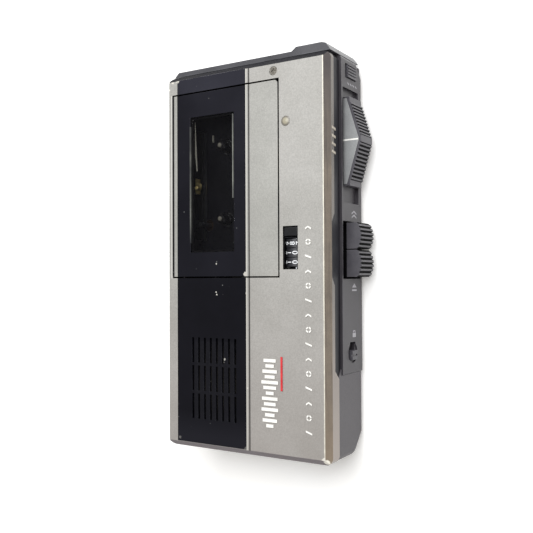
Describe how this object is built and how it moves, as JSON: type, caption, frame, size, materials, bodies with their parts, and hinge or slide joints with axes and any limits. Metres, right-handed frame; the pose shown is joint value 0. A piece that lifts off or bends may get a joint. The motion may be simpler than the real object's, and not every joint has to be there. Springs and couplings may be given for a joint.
{
  "type": "handheld voice recorder",
  "caption": "Slim handheld microcassette recorder with a hinged window door, speaker grille, tape counter, thumb slide switch and side buttons.",
  "frame": {"origin": "middle of the flat back face the recorder lies on", "axes": "+Z out of the front face, +Y along the length towards the microphone end, +X towards the side with the thumb controls"},
  "size_m": [0.0662, 0.1267, 0.0255],
  "materials": {
    "silver_paint": "silver-grey metallic paint on ABS",
    "black_plate": "black semi-gloss plate",
    "grey_abs": "dark grey textured ABS",
    "black_abs": "black moulded plastic",
    "control_plastic": "charcoal moulded plastic, ribbed",
    "smoked_window": "smoked clear polycarbonate",
    "led_plastic": "milky clear lens",
    "steel": "pressed and turned steel",
    "screw_steel": "blackened steel",
    "brass": "sintered brass",
    "head_metal": "permalloy head with warm tint",
    "rubber": "black rubber",
    "counter_drum": "black drums with white digits",
    "board": "green circuit board",
    "chip": "black epoxy",
    "paper_cone": "pressed paper",
    "cell_can": "plain AA cell in a printed can",
    "contact_metal": "nickel-plated spring steel"
  },
  "bodies": {
    "case": {"front_shell": "silver_paint", "top_strip": "black_plate", "speaker_panel": "black_plate", "back_shell": "grey_abs", "rear_screws": "screw_steel", "front_screw": "screw_steel", "groove_trim": "black_abs", "side_panel": "grey_abs", "top_cap": "grey_abs", "microphone": "steel", "led_lens": "led_plastic", "counter_frame": "black_abs", "counter_shaft": "steel", "cassette_well": "black_abs", "deck_plate": "steel", "capstan_bush": "brass", "motor": "steel", "drive_belt": "rubber", "door_spring": "contact_metal", "fast_spring": "contact_metal", "eject_spring": "contact_metal", "button_guide": "black_abs", "volume_control": "black_abs", "speaker_frame": "steel", "speaker_cone": "paper_cone", "earphone_jack": "black_abs", "microphone_jack": "black_abs", "main_board": "board", "board_parts": "chip", "cells": "cell_can", "cell_contacts": "contact_metal"},
    "door": {"door_frame": "silver_paint", "door_plate": "black_plate", "door_window": "smoked_window", "door_hinge_pins": "steel", "cassette_holder": "black_abs"},
    "main_switch": {"main_switch": "control_plastic"},
    "fast_button": {"fast_button": "control_plastic"},
    "eject_button": {"eject_button": "control_plastic"},
    "lock_slide": {"lock_slide": "control_plastic"},
    "tone_slide": {"tone_slide": "control_plastic"},
    "counter_reset": {"counter_reset_button": "black_abs"},
    "counter_units": {"counter_wheel_units": "counter_drum"},
    "counter_tens": {"counter_wheel_tens": "counter_drum"},
    "counter_hundreds": {"counter_wheel_hundreds": "counter_drum"},
    "takeup_spindle": {"takeup_spindle": "black_abs"},
    "supply_spindle": {"supply_spindle": "black_abs"},
    "flywheel": {"flywheel": "steel"},
    "motor_pulley": {"motor_pulley": "brass"},
    "head_bridge": {"head_bridge": "steel", "playback_head": "head_metal", "erase_head": "steel"},
    "pinch_roller": {"pinch_roller": "rubber"},
    "door_latch": {"door_latch": "black_abs"},
    "volume_wheel": {"volume_wheel": "control_plastic"},
    "battery_lid": {"battery_lid": "grey_abs"}
  },
  "joints": [
    {"name": "door_hinge", "type": "hinge", "parent": "case", "child": "door", "pos_m": [0, -0.0036, 0.0243], "axis": [1, 0, 0], "range_deg": [0, 35]},
    {"name": "main_switch_slide", "type": "slide", "parent": "case", "child": "main_switch", "axis": [0, 1, 0], "range_m": [-0.00476, 0.00238]},
    {"name": "fast_press", "type": "slide", "parent": "case", "child": "fast_button", "axis": [-1, 0, 0], "range_m": [0, 0.0018], "stiffness_N_per_m": 400, "deforming": ["fast_spring"]},
    {"name": "eject_press", "type": "slide", "parent": "case", "child": "eject_button", "axis": [-1, 0, 0], "range_m": [0, 0.0018], "stiffness_N_per_m": 400, "deforming": ["eject_spring"]},
    {"name": "latch_slide", "type": "slide", "parent": "case", "child": "door_latch", "axis": [0, 1, 0], "range_m": [0, 0.0008]},
    {"name": "lock_slide", "type": "slide", "parent": "case", "child": "lock_slide", "axis": [0, 1, 0], "range_m": [0, 0.0023]},
    {"name": "tone_slide", "type": "slide", "parent": "case", "child": "tone_slide", "axis": [0, 0, 1], "range_m": [0, 0.001]},
    {"name": "reset_press", "type": "slide", "parent": "case", "child": "counter_reset", "axis": [0, 0, -1], "range_m": [0, 0.001], "stiffness_N_per_m": 300},
    {"name": "takeup_spin", "type": "hinge", "parent": "case", "child": "takeup_spindle", "pos_m": [-0.0125, 0.0385, 0.016], "axis": [0, 0, 1], "continuous": true},
    {"name": "supply_spin", "type": "hinge", "parent": "case", "child": "supply_spindle", "pos_m": [-0.0125, 0.0141, 0.016], "axis": [0, 0, 1], "continuous": true},
    {"name": "units_spin", "type": "hinge", "parent": "case", "child": "counter_units", "pos_m": [0.0171, 0.00205, 0.0211], "axis": [0, 1, 0], "continuous": true},
    {"name": "tens_spin", "type": "hinge", "parent": "case", "child": "counter_tens", "pos_m": [0.0171, 0.00205, 0.0211], "axis": [0, 1, 0], "continuous": true},
    {"name": "hundreds_spin", "type": "hinge", "parent": "case", "child": "counter_hundreds", "pos_m": [0.0171, 0.00205, 0.0211], "axis": [0, 1, 0], "continuous": true},
    {"name": "capstan_spin", "type": "hinge", "parent": "case", "child": "flywheel", "pos_m": [-0.0202, 0.0125, 0.01], "axis": [0, 0, 1], "continuous": true},
    {"name": "motor_spin", "type": "hinge", "parent": "case", "child": "motor_pulley", "pos_m": [0.0202, 0.033, 0.01], "axis": [0, 0, 1], "continuous": true},
    {"name": "bridge_slide", "type": "slide", "parent": "case", "child": "head_bridge", "axis": [1, 0, 0], "range_m": [0, 0.0012]},
    {"name": "pinch_spin", "type": "hinge", "parent": "head_bridge", "child": "pinch_roller", "pos_m": [-0.0251, 0.0125, 0.018], "axis": [0, 0, 1], "continuous": true},
    {"name": "volume_turn", "type": "hinge", "parent": "case", "child": "volume_wheel", "pos_m": [-0.0236, 0.046, 0.007], "axis": [0, 0, 1], "range_deg": [0, 270]},
    {"name": "lid_slide", "type": "slide", "parent": "case", "child": "battery_lid", "axis": [0, -1, 0], "range_m": [0, 0.052]}
  ],
  "couplings": [
    {"joint": "latch_slide", "follows": "eject_press", "ratio": 0.44},
    {"joint": "motor_spin", "follows": "capstan_spin", "ratio": 2.87},
    {"joint": "units_spin", "follows": "takeup_spin", "ratio": 0.1},
    {"joint": "tens_spin", "follows": "takeup_spin", "ratio": 0.01},
    {"joint": "hundreds_spin", "follows": "takeup_spin", "ratio": 0.001}
  ]
}
